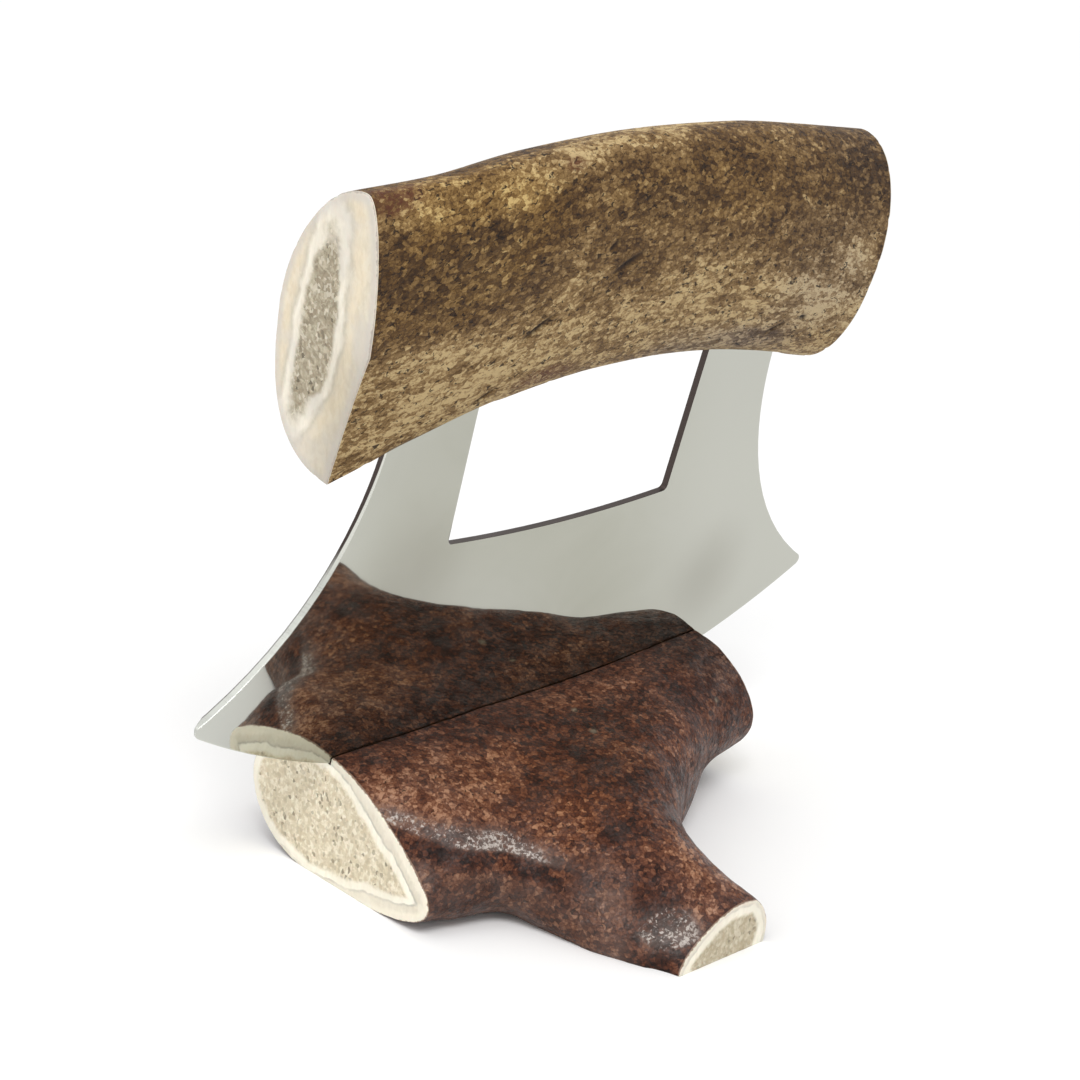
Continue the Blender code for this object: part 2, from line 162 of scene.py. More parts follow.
# Marks on the handle's front, placed along it and above its middle. A zone has two reaches and a strength,
# and a gouge has its half length along the handle and up it, its half width and its depth
PALE_ZONES_MM = [
    (12.0, 20.5, 11.0, 4.5, 0.8),
    (32.0, 20.0, 9.0, 4.5, 1.2),
    (44.0, 20.5, 12.0, 4.5, 1.6),
    (60.0, 20.0, 16.0, 3.0, 1.2),
    (20.0, -3.0, 11.0, 3.5, 0.6),
    (99.0, -4.0, 12.0, 3.2, 0.8),
    (112.0, 2.0, 8.0, 5.0, 1.3),
    (108.0, -8.0, 7.0, 4.0, 0.6),
    (73.0, -1.0, 14.0, 4.0, 0.45),
    (20.0, -13.0, 16.0, 5.0, 0.5),
]
VIOLET_ZONES_MM = [
    (15.0, 10.5, 19.0, 5.5, 0.80),
    (19.0, 5.0, 13.0, 3.0, 0.65),
    (34.0, 5.0, 9.0, 4.0, 0.40),
    (61.0, 11.5, 14.0, 4.5, 0.55),
    (113.0, 16.0, 11.0, 6.0, 0.85),
    (99.0, -16.0, 17.0, 3.2, 0.90),
    (80.0, -18.0, 14.0, 2.6, 0.60),
]
WARM_ZONES_MM = [(18.0, 13.0, 30.0, 13.0, 1.0), (66.0, 13.0, 26.0, 9.0, 0.5)]
COOL_ZONES_MM = [(106.0, -2.0, 20.0, 13.0, 1.0), (84.0, -16.0, 20.0, 5.0, 0.7)]
RUSSET_ZONES_MM = [
    (4.0, 23.0, 6.0, 2.4, 0.8),
    (41.0, 19.6, 3.0, 1.4, 0.8),
    (42.0, -16.5, 8.0, 2.0, 0.8),
]
GOUGES_MM = [
    (36.1, -5.4, 4.2, 2.2, 0.75, 0.45),
    (53.5, 2.4, 4.6, 2.0, 0.80, 0.40),
    (49.5, 6.0, 1.6, 0.9, 0.60, 0.35),
    (29.5, -17.0, 2.4, 1.6, 0.60, 0.35),
    (100.0, -13.0, 2.6, 2.0, 0.45, 0.30),
    (105.5, -10.5, 1.4, 0.1, 0.80, 0.35),
]

# Paler and darker places of the stand, seen from above: x, y, two reaches and a strength
STAND_PALE_MM = [
    (-26.0, -15.0, 20.0, 10.0, 1.0),
    (-30.0, -18.0, 16.0, 5.5, 1.5),
    (-40.0, -14.0, 6.0, 9.0, 1.4),
    (-3.0, -47.0, 9.0, 12.0, 1.2),
    (-17.0, -31.0, 9.0, 6.0, 0.7),
    (-21.0, -42.0, 7.0, 10.0, 0.7),
    (20.0, -18.0, 7.0, 6.0, 0.4),
    (12.0, -7.0, 13.0, 5.0, 0.5),
    (44.0, -12.0, 9.0, 6.0, 0.4),
]
STAND_DARK_MM = [(1.0, -25.0, 12.0, 8.0, 0.4), (-21.0, -40.0, 6.0, 6.0, 0.25)]

# Pale specks on the stand: x, y, height and reach
SPECKS_MM = [
    (4.0, -16.2, 21.9, 0.8),
    (6.3, -9.4, 22.5, 0.6),
    (37.5, -16.5, 20.0, 0.6),
    (39.5, -11.5, 22.0, 0.5),
]

# Painted highlight on the tine, a grey sheen with glints: x, y, height, a reach along each, endless where it
# plays no part, and a strength
GLINT_SPOTS_MM = [
    (-14.5, -52.5, 5.6, 8.0, 7.5, 7.0, 1.1),
    (-21.0, -45.5, 0.0, 5.5, 8.5, math.inf, 0.42),
]

# The ridge along the stand's left front, as x, y and height; the face falling away below it gets painted
# shade
RIDGE_MM = [
    (-45.0, -15.5, 17.0),
    (-38.0, -22.4, 15.1),
    (-33.0, -26.4, 14.3),
    (-27.0, -30.0, 13.0),
    (-20.0, -37.0, 11.6),
]

# How far the hand polished faces turn the light from where a dead flat plate would
POLISH_DRIFT = (math.radians(1.3), 0.0, math.radians(-3.0))

KNIFE = Matrix.Translation((SEAT_SHIFT, 0, SEAT_HEIGHT)) @ Matrix.Rotation(LEAN, 4, "X")


def smooth_row(rows, place):
    """Read a table between its stations, along the same curve as the CAD."""
    last = len(rows) - 1
    index = 0
    while index < last - 1 and place > rows[index + 1][0]:
        index += 1
    start, end = rows[index], rows[index + 1]
    before, after = rows[max(index - 1, 0)], rows[min(index + 2, last)]
    span = end[0] - start[0]
    t = (place - start[0]) / span
    values = []
    for column in range(1, len(start)):
        slope_in = (end[column] - before[column]) / (end[0] - before[0]) * span
        slope_out = (after[column] - start[column]) / (after[0] - start[0]) * span
        values.append(
            (2 * t ** 3 - 3 * t ** 2 + 1) * start[column]
            + (t ** 3 - 2 * t ** 2 + t) * slope_in
            + (3 * t ** 2 - 2 * t ** 3) * end[column]
            + (t ** 3 - t ** 2) * slope_out
        )
    return values


def bent(value, roundness):
    return np.copysign(np.abs(value) ** (2 / roundness), value)


def eased(values, low, high):
    """A smooth step of the values from 0 at low to 1 at high."""
    t = np.clip((values - low) / (high - low), 0, 1)
    return t * t * (3 - 2 * t)


def ripple(points_mm, size_mm, seed):
    """Gradient noise, about -1 to 1, at each point. size_mm is one length or one for each axis."""
    scaled = points_mm / np.asarray(size_mm, float) + np.array([seed * 7.31, seed * 3.77, seed * 5.93])
    return np.array([noise.noise(point) for point in scaled.tolist()])


def zone(run, height, zones, drift):
    """How strongly the marked zones cover each point."""
    total = np.zeros(len(run))
    for middle, level, reach, rise, strength in zones:
        spread = np.hypot((run - middle) / reach, (height - level) / rise) + 0.5 * drift
        total = np.maximum(total, strength * (1 - eased(spread, 0.35, 1.15)))
    return total


def gouged(run, height, gouges):
    """Cover and depth of the small gouges at each point of the handle."""
    cover, depth = np.zeros(len(run)), np.zeros(len(run))
    for middle, level, reach, rise, width, deep in gouges:
        length = np.hypot(reach, rise)
        along = ((run - middle) * reach + (height - level) * rise) / length
        across = ((height - level) * reach - (run - middle) * rise) / length
        spread = np.hypot(along / length, across / width)
        mark = 1 - eased(spread, 0.25, 1.0)
        cover = np.maximum(cover, mark)
        depth = np.maximum(depth, deep * mark)
    return cover, depth


def tuned(thing, settings):
    for name, value in settings.items():
        setattr(thing, name, value)
    return thing


def modify(thing, name, kind, **settings):
    tuned(thing.modifiers.new(name, kind), settings)


def linked(name, data):
    thing = bpy.data.objects.new(name, data)
    bpy.context.scene.collection.objects.link(thing)
    return thing


def mesh_object(name, points, faces, materials=()):
    mesh = bpy.data.meshes.new(name)
    mesh.from_pydata(points, [], faces)
    for material in materials:
        mesh.materials.append(material)
    return linked(name, mesh)


def vectors(elements, name):
    """One vector of each of a mesh's elements, as rows."""
    flat = np.empty(len(elements) * 3, np.float32)
    elements.foreach_get(name, flat)
    return flat.reshape(-1, 3).astype(float)


def face_outward(mesh):
    clean = bmesh.new()
    clean.from_mesh(mesh)
    bmesh.ops.recalc_face_normals(clean, faces=clean.faces)
    clean.to_mesh(mesh)
    clean.free()


def finder(outline):
    """A search tree over the points of a saw cut's outline."""
    tree = kdtree.KDTree(len(outline))
    for i, point in enumerate(outline):
        tree.insert(point, i)
    tree.balance()
    return tree


def store(mesh, name, values):
    """Keep a number or a vector for each vertex, for the materials."""
    values = np.asarray(values, np.float32)
    if values.ndim == 1:
        mesh.attributes.new(name, "FLOAT", "POINT").data.foreach_set("value", values)
    else:
        mesh.attributes.new(name, "FLOAT_VECTOR", "POINT").data.foreach_set("vector", values.ravel())


def baked(thing):
    """Swap an object's mesh for what its modifiers make of it."""
    bpy.context.view_layer.update()
    ready = thing.evaluated_get(bpy.context.evaluated_depsgraph_get())
    mesh = bpy.data.meshes.new_from_object(ready)
    old = thing.data
    thing.modifiers.clear()
    thing.data = mesh
    mesh.name = old.name
    bpy.data.meshes.remove(old)
    return mesh


def carve(thing, cutters):
    for cutter in cutters:
        modify(thing, "carve", "BOOLEAN", operation="DIFFERENCE", solver="EXACT", object=cutter)
    baked(thing)
    for cutter in cutters:
        bpy.data.objects.remove(cutter, do_unlink=True)


class Recipe:
    """Short names for the nodes of one material, or of the world."""

    def __init__(self, name, library=bpy.data.materials, shader="Principled BSDF"):
        self.owner = library.new(name)
        self.owner.use_nodes = True
        self.tree = self.owner.node_tree
        self.shader = self.tree.nodes[shader]

    def plug(self, value, socket):
        if isinstance(value, bpy.types.NodeSocket):
            self.tree.links.new(value, socket)
        elif socket.type == "RGBA":
            socket.default_value = (*value[:3], 1.0)
        else:
            socket.default_value = value

    def set(self, **values):
        for name, value in values.items():
            self.plug(value, self.shader.inputs[name.replace("_", " ")])

    def add(self, kind, inputs, output, **settings):
        """One output of a new node with these inputs and settings."""
        node = tuned(self.tree.nodes.new(kind), settings)
        for name, value in inputs.items():
            self.plug(value, node.inputs[name])
        return node.outputs[output]

    def place(self, output="Object"):
        return self.add("ShaderNodeTexCoord", {}, output)

    def number(self, name, output="Fac"):
        return self.add("ShaderNodeAttribute", {}, output, attribute_name=name)

    def seen(self):
        """1 for rays that show a thing, also in a mirror, and 0 for rays that only light it."""
        path = self.tree.nodes.new("ShaderNodeLightPath")
        shown = path.outputs["Is Camera Ray"]
        for kind in ("Is Glossy Ray", "Is Transmission Ray"):
            shown = self.sum("MAXIMUM", shown, path.outputs[kind])
        return shown

    def stretch(self, vector, scale, shift=(0, 0, 0)):
        return self.add("ShaderNodeMapping", {"Vector": vector, "Scale": scale, "Location": shift}, "Vector")

    def noise(self, vector, scale, detail=3.0, roughness=0.55, warp=0.0):
        inputs = {"Vector": vector, "Scale": scale, "Detail": detail, "Roughness": roughness}
        return self.add("ShaderNodeTexNoise", {**inputs, "Distortion": warp}, "Fac")

    def cells(self, vector, feature="F1", output="Distance"):
        return self.add("ShaderNodeTexVoronoi", {"Vector": vector, "Scale": 1.0}, output, feature=feature)

    def cloud(self, vector):
        """Noise as three numbers, to pull a pattern about with."""
        return self.add("ShaderNodeTexNoise", {"Vector": vector, "Scale": 1.0, "Detail": 3.0}, "Color")

    def measure(self, operation, first, second=(0, 0, 0)):
        """One number from one or two vectors."""
        return self.add("ShaderNodeVectorMath", {0: first, 1: second}, "Value", operation=operation)

    def along(self, vector, direction, shift=0.0):
        """How far a place lies along a direction."""
        return self.sum("ADD", self.measure("DOT_PRODUCT", vector, direction), shift)

    def sum(self, operation, first, second=0.0, third=0.0):
        return self.add("ShaderNodeMath", {0: first, 1: second, 2: third}, 0, operation=operation)

    def weigh(self, value, *terms):
        """The value plus each pattern times its weight."""
        for pattern, weight in terms:
            value = self.sum("MULTIPLY_ADD", pattern, weight, value)
        return value

    def span(self, value, low, high, out_low=0.0, out_high=1.0, smooth=True):
        """The value's stretch from low to high, turned into out_low to out_high."""
        inputs = {"Value": value, "From Min": low, "From Max": high, "To Min": out_low, "To Max": out_high}
        kind = "SMOOTHSTEP" if smooth else "LINEAR"
        return self.add("ShaderNodeMapRange", inputs, "Result", interpolation_type=kind)

    def mix(self, share, first, second, blend="MIX"):
        inputs = {"Factor": share, 6: first, 7: second}
        return self.add("ShaderNodeMix", inputs, 2, data_type="RGBA", blend_type=blend)

    def layered(self, colour, *layers):
        """The colour with each layer's shade mixed over it in turn, by that layer's share."""
        for share, shade, *blend in layers:
            colour = self.mix(share, colour, shade, *blend)
        return colour

    def bands(self, value, stops):
        node = self.tree.nodes.new("ShaderNodeValToRGB")
        self.plug(value, node.inputs["Fac"])
        ramp = node.color_ramp
        while len(ramp.elements) < len(stops):
            ramp.elements.new(0.5)
        for element, (place, colour) in zip(ramp.elements, stops):
            element.position = place
            element.color = (*colour, 1.0)
        return node.outputs["Color"]

    def relief(self, height, depth, strength=1.0, under=(0, 0, 0)):
        inputs = {"Height": height, "Distance": depth, "Strength": strength, "Normal": under}
        return self.add("ShaderNodeBump", inputs, "Normal")


def tone(red, green, blue):
    """A colour as read off a screen, in the renderer's own scale."""
    values = []
    for part in (red, green, blue):
        share = part / 255
        values.append(share / 12.92 if share <= 0.04045 else ((share + 0.055) / 1.055) ** 2.4)
    return tuple(values)


# Materials

def flecks_of(r, vector, size, warp, shift=(0, 0, 0)):
    """Ragged flecks with a random value each, and the pulled places that they are drawn on."""
    pull = r.cloud(r.stretch(vector, (size * 0.9,) * 3))
    pulled = r.mix(warp, r.stretch(vector, (size,) * 3, shift), pull, "ADD")
    return r.add("ShaderNodeSeparateColor", {0: r.cells(pulled, "F1", "Color")}, 0), pulled


def pebbles_of(r, vector, size):
    """Rounded grains that touch, highest in their middles."""
    grains = r.stretch(vector, (size,) * 3)
    return r.sum("SUBTRACT", 1.0, r.cells(r.mix(0.5, grains, r.cloud(grains), "ADD")))


def handle_bark():
    r = Recipe("antler_bark_natural")
    grain = r.number("grain_mm", "Vector")
    lower = r.number("lower_side")
    broad = r.noise(r.stretch(grain, (0.035, 0.085, 0.085)), 1.0, 3.0, 0.5, 0.4)
    patches = r.noise(r.stretch(grain, (0.16, 0.26, 0.26), (3, 7, 1)), 1.0, 3.0, 0.6, 0.5)
    slanted = r.stretch(grain, (0.66, 1.0, 1.0))
    coarse, coarse_cells = flecks_of(r, slanted, 1.3, 0.95)
    small = flecks_of(r, slanted, 2.4, 0.7, (5, 2, 8))[0]
    grit = r.noise(slanted, 2.6, 5.0, 0.68, 0.6)
    streaks = r.noise(r.stretch(grain, (0.085, 0.8, 0.8), (9, 2, 5)), 1.0, 4.0, 0.62, 0.8)
    cracks = r.span(r.cells(coarse_cells, "DISTANCE_TO_EDGE"), 0.0, 0.16, 1.0, 0.0)
    streaky = r.span(lower, 0.0, 1.0, 0.10, 0.55)
    value = r.weigh(
        0.0, (coarse, 0.29), (small, 0.17), (grit, 0.36), (patches, 0.48), (broad, 0.34),
        (r.number("pale"), 0.19), (cracks, -0.09), (streaks, streaky),
    )
    value = r.span(value, 0.52, 1.20, smooth=False)
    colour = r.bands(value, [
        (0.00, tone(34, 22, 12)),
        (0.25, tone(70, 49, 27)),
        (0.50, tone(104, 79, 46)),
        (0.75, tone(142, 115, 75)),
        (1.00, tone(192, 168, 122)),
    ])
    pits = r.span(r.noise(slanted, 1.35, 2.0, 0.5, 0.9), 0.32, 0.385, 0.9, 0.0)
    marks = r.noise(r.stretch(slanted, (1.0, 1.0, 1.0), (4, 9, 6)), 2.3, 3.0, 0.62, 1.4)
    marks = r.sum("MULTIPLY", r.span(marks, 0.34, 0.41, 0.62, 0.0), r.span(lower, 0.0, 1.0, 1.0, 0.35))
    violet = r.sum("MULTIPLY", r.number("violet"), r.span(coarse, 0.3, 0.9, 1.0, 0.45))
    warmth = r.span(r.number("warmth"), -1.0, 1.0, smooth=False)
    russet = r.sum("MULTIPLY", r.number("russet"), r.span(small, 0.2, 0.8, 1.0, 0.4))
    colour = r.layered(
        colour,
        (pits, tone(34, 23, 15)),
        (r.number("wound"), tone(42, 33, 28)),
        (marks, tone(58, 38, 23)),
        (violet, (0.50, 0.49, 0.62), "MULTIPLY"),
        (1.0, r.mix(warmth, (0.94, 0.98, 1.20), (1.07, 1.01, 0.82)), "MULTIPLY"),
        (russet, tone(88, 50, 34)),
    )
    r.set(Base_Color=colour, Roughness=r.span(grit, 0.3, 0.7, 0.46, 0.68), Specular_IOR_Level=0.16)
    bump = r.relief(streaks, 0.30 * MM, 0.5)
    bump = r.relief(pebbles_of(r, slanted, 1.3), 0.14 * MM, 0.5, bump)
    bump = r.relief(r.sum("SUBTRACT", grit, pits), 0.25 * MM, 0.6, bump)
    r.set(Normal=r.relief(r.noise(grain, 1.1, 4.0, 0.6), 0.10 * MM, 0.4, bump))
    return r.owner


def stand_bark():
    r = Recipe("antler_bark_stained")
    place = r.place()
    broad = r.noise(place, 42.0, 3.0, 0.5, 0.5)
    patches = r.noise(place, 150.0, 3.0, 0.6, 0.6)
    coarse, coarse_cells = flecks_of(r, place, 1150.0, 0.95)
    small = flecks_of(r, place, 2400.0, 0.8, (5, 2, 8))[0]
    grit = r.noise(place, 1500.0, 5.0, 0.68, 0.6)
    # Where highlights are painted: a grey sheen and bright glints go into the colour, and the coat is thicker
    # there
    glint_share = r.number("glint_zone")
    streaks = r.noise(r.stretch(place, (160.0, 260.0, 1500.0)), 1.0, 3.0, 0.6, 0.5)
    cracks = r.span(r.cells(coarse_cells, "DISTANCE_TO_EDGE"), 0.0, 0.16, 1.0, 0.0)
    # Painted shade: darker streaks on the face just below the ridge
    streaky = r.sum("MULTIPLY", r.number("shade_below_ridge"), 0.25)
    value = r.weigh(
        -0.05, (coarse, 0.32), (small, 0.16), (grit, 0.30), (patches, 0.46), (broad, 0.30),
        (r.number("light_zone"), 0.19), (cracks, -0.09), (r.sum("SUBTRACT", streaks, 0.95), streaky),
    )
    value = r.span(value, 0.43, 1.08, smooth=False)
    colour = r.bands(value, [
        (0.00, tone(28, 16, 13)),
        (0.28, tone(56, 31, 23)),
        (0.52, tone(84, 48, 34)),
        (0.76, tone(119, 77, 56)),
        (1.00, tone(166, 124, 98)),
    ])
    pits = r.span(r.noise(place, 1000.0, 3.0, 0.6, 1.2), 0.32, 0.39, 0.8, 0.0)
    painted_sheen = r.sum("MULTIPLY", glint_share, r.span(patches, 0.35, 0.65, 0.25, 0.85))
    painted_glints = r.span(r.weigh(grit, (patches, 0.5), (small, 0.12)), 0.82, 0.92)
    painted_glints = r.sum("MULTIPLY", painted_glints, r.span(glint_share, 0.45, 0.85, 0.0, 0.9))
    colour = r.layered(
        colour,
        (pits, tone(26, 16, 14)),
        (r.number("orange"), (1.02, 0.92, 0.72), "MULTIPLY"),
        # painted shade on the right arm and under the ridge, and darker spots
        (r.number("shade_and_dark_spots"), (0.55, 0.60, 0.66), "MULTIPLY"),
        # painted highlight: grey sheen, then bright glints
        (painted_sheen, tone(104, 88, 80)),
        (painted_glints, tone(190, 180, 172)),
        (r.number("speck"), tone(128, 116, 98)),
    )
    lacquer = r.span(r.noise(place, 260.0, 3.0, 0.5, 0.3), 0.40, 0.62, 0.04, 0.34)
    r.set(Base_Color=colour, Roughness=r.span(grit, 0.3, 0.7, 0.42, 0.64), Specular_IOR_Level=0.12)
    r.set(Coat_Weight=r.weigh(lacquer, (glint_share, 0.45)), Coat_Roughness=0.13, Coat_IOR=1.48)
    bump = r.relief(patches, 0.50 * MM, 0.4)
    bump = r.relief(pebbles_of(r, place, 1250.0), 0.24 * MM, 0.9, bump)
    bump = r.relief(r.sum("SUBTRACT", grit, pits), 0.26 * MM, 0.7, bump)
    r.set(Normal=bump, Coat_Normal=bump)
    return r.owner


def cut_face(name, rings, core, pore, bark, tint):
    """Sanded antler across a saw cut: dense rings, placed in mm out from the core, round a spongy core."""
    r = Recipe(name)
    place = r.place()
    drift = r.sum("SUBTRACT", r.noise(place, 210.0, 2.0, 0.5), 0.5)
    ragged = r.sum("SUBTRACT", r.noise(place, 1300.0, 3.0, 0.6), 0.5)
    core_mm = r.weigh(r.number("core_mm"), (drift, 2.2), (ragged, 0.45))
    rim_mm = r.weigh(r.number("rim_mm"), (drift, 0.5), (ragged, 0.7))
    cloud = r.noise(place, 110.0, 3.0, 0.55, 0.4)
    blots = r.noise(place, 420.0, 3.0, 0.6, 0.3)
    brushed = r.noise(r.stretch(place, (1.0, 1.0, 0.35)), 1100.0, 3.0, 0.65, 0.4)
    sponge = r.noise(place, 1000.0, 3.0, 0.7, 0.5)
    inside = r.span(core_mm, -0.5, 0.5)
    deepest = rings[0][0]
    stops = [(1 - spot / deepest, shade) for spot, shade in rings]
    layers = r.bands(r.span(core_mm, deepest, 0.0, smooth=False), stops)
    shaded = r.mix(1.0, layers, (0.84, 0.82, 0.79), "MULTIPLY")
    shade = r.sum("MULTIPLY", r.number("shade"), 0.8)
    rim_colour = r.layered(
        r.mix(r.span(brushed, 0.35, 0.70, 0.0, 0.6), layers, shaded),
        (r.span(blots, 0.50, 0.62, 0.0, 0.35), rings[-1][1]),
        (r.span(cloud, 0.45, 0.65, 0.0, 0.45), tint),
        (r.span(rim_mm, 0.6, 1.9, 0.6, 0.0), tint),
        (shade, (0.72, 0.71, 0.69), "MULTIPLY"),
    )
    grains = flecks_of(r, r.stretch(place, (1.0, 1.0, 0.8)), 1900.0, 0.6, (1, 4, 2))[0]
    pits = r.sum("MULTIPLY", r.span(grains, 0.03, 0.07, 0.70, 0.0), r.span(cloud, 0.42, 0.58, 0.25, 1.0))
    core_colour = r.layered(
        r.mix(r.span(sponge, 0.34, 0.64), pore, core),
        (r.span(blots, 0.40, 0.62, 0.65, 0.0), pore),
        (r.span(grains, 0.70, 0.90, 0.0, 0.45), rings[-1][1]),
        (r.span(grains, 0.16, 0.30, 0.40, 0.0), tuple(0.7 * part for part in pore)),
        (pits, tuple(0.35 * part for part in pore)),
        (r.number("dull"), (0.78, 0.77, 0.75), "MULTIPLY"),
    )
    colour = r.mix(inside, rim_colour, core_colour)
    colour = r.mix(r.span(rim_mm, 0.16, 0.40, 0.9, 0.0), colour, bark)
    r.set(Base_Color=colour, Roughness=r.span(core_mm, -0.4, 0.5, 0.42, 0.75), Specular_IOR_Level=0.3)
    r.set(Subsurface_Weight=0.08, Subsurface_Scale=0.002)
    grooves = r.relief(brushed, 0.10 * MM, 0.4)
    r.set(Normal=r.relief(r.sum("MULTIPLY", sponge, inside), 0.34 * MM, 0.6, grooves))
    return r.owner


def slot_wall():
    r = Recipe("antler_sawn_slot")
    teeth = r.noise(r.stretch(r.place(), (120.0, 120.0, 1600.0)), 1.0, 2.0, 0.5)
    colour = r.bands(teeth, [(0.3, tone(52, 36, 28)), (0.7, tone(104, 78, 58))])
    r.set(Base_Color=colour, Roughness=0.8, Normal=r.relief(teeth, 0.1 * MM, 0.5))
    return r.owner


def mirror_steel():
    """Polished faces, a coarser ground bevel, and side walls painted with a reflection: dark between two pale
    strips.
    """
    r = Recipe("steel_mirror_polish")
    place = r.place()
    normal = r.place("Normal")
    sine, cosine = math.sin(LEAN), math.cos(LEAN)
    flat = r.sum("ABSOLUTE", r.along(normal, (0, cosine, sine)))
    face = r.span(flat, 0.984, 0.997)
    ground = r.span(flat, 0.80, 0.90)
    depth = r.along(place, (0, cosine, sine), -sine * SEAT_HEIGHT)
    height = r.along(place, (0, -sine, cosine), -cosine * SEAT_HEIGHT)
    side = r.along(place, (1, 0, 0))
    haze = r.noise(place, 42.0, 3.0, 0.55, 0.6)
    lines = r.noise(r.stretch(place, (60.0, 60.0, 3500.0)), 1.0, 2.0, 0.5)
    # Painted reflection: the polish is lighter towards the right and up and at the left tip, for the brighter
    # floor mirrored there
    polished = r.layered(
        r.mix(r.span(haze, 0.30, 0.72), (0.400, 0.398, 0.338), (0.440, 0.440, 0.382)),
        (r.span(r.weigh(side, (height, 0.25)), 16 * MM, 52 * MM), (0.500, 0.502, 0.450)),
        (r.span(side, -70 * MM, -36 * MM, 1.0, 0.0), (0.565, 0.575, 0.530)),
        (r.span(height, 34 * MM, 60 * MM, 0.0, 0.10), (0.30, 0.30, 0.28)),
    )
    # Painted reflected shadow in the darker spots, and lighter painted reflection in the last
    for x, z, reach, shade in REFLECTION_SPOTS_MM:
        spot = KNIFE @ Vector((x * MM, -BLADE_THICKNESS / 2, z * MM))
        spread = r.weigh(r.measure("DISTANCE", place, spot), (haze, -6 * MM))
        polished = r.mix(r.span(spread, -2 * MM, (reach - 3) * MM, 0.6, 0.0), polished, shade)
    bevel = r.mix(lines, (0.56, 0.56, 0.53), (0.66, 0.66, 0.63))
    low = r.span(height, 34 * MM, 41 * MM, 1.0, 0.0)
    rolled = r.sum("MULTIPLY", low, r.span(side, -40 * MM, -34 * MM, 1.0, 0.0))
    rolled = r.sum("MULTIPLY", rolled, r.span(depth, -0.5 * MM, -0.3 * MM, 1.0, 0.0))
    colour = r.mix(face, r.mix(rolled, bevel, (0.14, 0.14, 0.13)), polished)
    limit = r.span(height, 40 * MM, 63 * MM, 0.08 * MM, -0.42 * MM, smooth=False)
    strip = r.span(r.sum("SUBTRACT", depth, limit), -0.07 * MM, 0.07 * MM, 1.0, 0.0)
    strip = r.sum("MAXIMUM", strip, r.sum("MULTIPLY", low, r.span(depth, 0.40 * MM, 0.56 * MM, 1.0, 0.25)))
    strip = r.sum("MULTIPLY", strip, r.span(side, -38 * MM, -32 * MM, 1.0, 0.0))
    # Painted reflection on the side walls: dark with pale strips along the edges, and a plain grey where a
    # wall faces right
    wall = r.mix(strip, (0.070, 0.055, 0.050), r.mix(low, (0.70, 0.70, 0.64), (0.56, 0.57, 0.53)))
    wall = r.mix(r.span(r.along(normal, (1, 0, 0)), 0.3, 0.7), wall, (0.46, 0.46, 0.43))
    colour = r.mix(ground, wall, colour)
    smears = r.span(haze, 0.35, 0.75, 0.020, 0.045)
    roughness = r.mix(face, r.span(lines, 0.3, 0.7, 0.20, 0.30), smears)
    roughness = r.mix(ground, r.span(lines, 0.3, 0.7, 0.25, 0.36), roughness)
    buffed = r.add("ShaderNodeBevel", {"Radius": 0.25 * MM}, "Normal", samples=6)
    drift = {"Vector": buffed, "Rotation": POLISH_DRIFT}
    turned = r.add("ShaderNodeVectorRotate", drift, "Vector", rotation_type="EULER_XYZ")
    r.set(Base_Color=colour, Metallic=1.0, Roughness=roughness, Normal=turned)
    return r.owner


def cured_epoxy():
    r = Recipe("epoxy_amber")
    cloud = r.noise(r.place(), 500.0, 3.0, 0.6)
    colour = r.bands(cloud, [(0.3, tone(70, 50, 28)), (0.7, tone(122, 96, 58))])
    r.set(Base_Color=colour, Roughness=r.span(cloud, 0.3, 0.7, 0.22, 0.4))
    r.set(Normal=r.relief(cloud, 0.1 * MM, 0.4))
    return r.owner


# Handle

def handle_station(place):
    """Centre, up direction, half height, front and back reach and the three roundnesses at one place."""
    rise, tall, crest_line, front, back, *fullness = smooth_row(HANDLE_SHARES, place)
    middle_height = TIP_LEVEL + WINDOW_FLOOR + FINGER_ROOM + HANDLE_HEIGHT / 2
    centre = np.array((
        HANDLE_OFFSET + HANDLE_LENGTH * (place - 1 / 2),
        HANDLE_THICKNESS * crest_line,
        middle_height + HANDLE_ARCH * (rise - 1),
    ))
    lean = HANDLE_FAN * (1 - 2 * place)
    up = np.array((-math.sin(lean), 0, math.cos(lean)))
    reaches = (HANDLE_THICKNESS * front, HANDLE_THICKNESS * back)
    return centre, up, HANDLE_HEIGHT * tall, reaches, fullness


def handle_row(place, angles):
    centre, up, tall, (front, back), (front_low, back_high, back_low) = handle_station(place)
    across, along = np.cos(angles), np.sin(angles)
    front_fullness = np.where(along < 0, front_low, 2.0)
    back_fullness = np.where(along < 0, back_low, back_high)
    roundness = np.where(across < 0, front_fullness, back_fullness)
    y = np.where(across < 0, front, back) * bent(across, roundness)
    z = tall * bent(along, roundness)
    points = centre + np.outer(z, up)
    points[:, 1] += y
    return points, np.stack((y, z), axis=1)


def underside_height(x):
    place = (x - HANDLE_OFFSET) / HANDLE_LENGTH + 1 / 2
    centre, up, tall = handle_station(place)[:3]
    return centre[2] - up[2] * tall


def cap_rings(outline, centre, out):
    """Rings from a saw cut's outline to its centre: first round the worn edge, then over the cut."""
    inward = centre - outline
    inward = inward / np.linalg.norm(inward, axis=1, keepdims=True)
    rings = []
    for step in range(1, WORN_STEPS + 1):
        turn = math.pi / 2 * step / WORN_STEPS
        rings.append(outline + inward * WORN_EDGE * (1 - math.cos(turn)) + out * WORN_EDGE * math.sin(turn))
    edge = rings[-1]
    middle = centre + out * WORN_EDGE
    for step in range(1, CUT_RINGS):
        rings.append(middle + (edge - middle) * (1 - step / CUT_RINGS))
    return rings, middle


def strip(first, second):
    """The faces between two closed rings of vertex numbers."""
    return np.stack((first, second, np.roll(second, -1), np.roll(first, -1)), axis=1)


